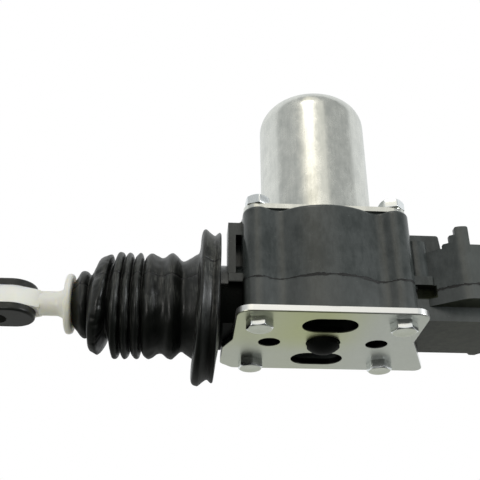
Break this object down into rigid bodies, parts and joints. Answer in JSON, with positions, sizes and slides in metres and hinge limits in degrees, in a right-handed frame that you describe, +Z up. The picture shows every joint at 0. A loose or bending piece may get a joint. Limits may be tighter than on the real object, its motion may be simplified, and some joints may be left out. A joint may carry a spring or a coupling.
{
  "type": "door latch actuator",
  "caption": "Electric door latch actuator: a motor with clutch, pinion and rack that pulls a nylon rod through a rubber bellows.",
  "frame": {"origin": "midway between the two mounting holes, on the outer face of the mounting plate", "axes": "+Z up along the motor, -X along the rod towards its eye, +Y towards the far side of the plate"},
  "size_m": [0.1806, 0.048, 0.1018],
  "materials": {
    "zinc_steel": "bright zinc plating",
    "black_plastic": "satin moulding",
    "black_rubber": "matte",
    "nylon": "natural nylon, waxy",
    "acetal": "satin",
    "ferrite": "matte ceramic",
    "spring_steel": "bright",
    "bronze": "sintered, oiled",
    "card_board": "phenolic board",
    "brass": "bright",
    "carbon": "carbon block",
    "steel": "ground or stamped",
    "copper": "enamelled wire and bars",
    "breaker_plastic": "moulded case"
  },
  "bodies": {
    "housing": {"mounting_plate": "zinc_steel", "lower_case": "black_plastic", "upper_case": "black_plastic", "socket_shroud": "black_plastic", "motor_can": "zinc_steel", "plate_screw_1": "zinc_steel", "plate_screw_2": "zinc_steel", "plate_screw_3": "zinc_steel", "plate_screw_4": "zinc_steel", "motor_screw_1": "zinc_steel", "motor_screw_2": "zinc_steel", "motor_screw_3": "zinc_steel", "motor_screw_4": "zinc_steel", "magnet_left": "ferrite", "magnet_right": "ferrite", "magnet_clip_near": "spring_steel", "magnet_clip_far": "spring_steel", "top_bearing": "bronze", "lower_bearing": "bronze", "brush_card": "card_board", "brush_box_left": "brass", "brush_box_right": "brass", "brush_left": "carbon", "brush_right": "carbon", "brush_spring_left": "spring_steel", "brush_spring_right": "spring_steel", "front_bumper": "black_rubber", "back_bumper": "black_rubber", "circuit_breaker": "breaker_plastic", "terminal_1": "brass", "terminal_2": "brass", "boot": "black_rubber"},
    "rod": {"rack_rod": "nylon", "eye_grommet": "black_rubber"},
    "pinion": {"drum_pinion": "acetal"},
    "armature": {"armature_shaft": "steel", "armature_core": "steel", "armature_windings": "copper", "commutator": "copper", "clutch_hub": "acetal"},
    "shoe_1": {"clutch_shoe_1": "steel"},
    "shoe_2": {"clutch_shoe_2": "steel"}
  },
  "joints": [
    {"name": "rod_slide", "type": "slide", "parent": "housing", "child": "rod", "axis": [-1, 0, 0], "range_m": [-0.008, 0.012], "deforming": ["boot"]},
    {"name": "pinion_spin", "type": "hinge", "parent": "housing", "child": "pinion", "pos_m": [0, 0, 0.011], "axis": [0, 0, 1], "range_deg": [-78, 116]},
    {"name": "armature_spin", "type": "hinge", "parent": "housing", "child": "armature", "pos_m": [0, 0, 0.06], "axis": [0, 0, 1], "continuous": true},
    {"name": "shoe_1_swing", "type": "hinge", "parent": "armature", "child": "shoe_1", "pos_m": [0.01103, 0.00926, 0.024], "axis": [0, 0, -1], "range_deg": [0, 2], "stiffness_Nm_per_rad": 0.02},
    {"name": "shoe_2_swing", "type": "hinge", "parent": "armature", "child": "shoe_2", "pos_m": [-0.01103, -0.00926, 0.024], "axis": [0, 0, -1], "range_deg": [0, 2], "stiffness_Nm_per_rad": 0.02}
  ],
  "couplings": [
    {"joint": "pinion_spin", "follows": "rod_slide", "rad_per_m": 166.67}
  ]
}
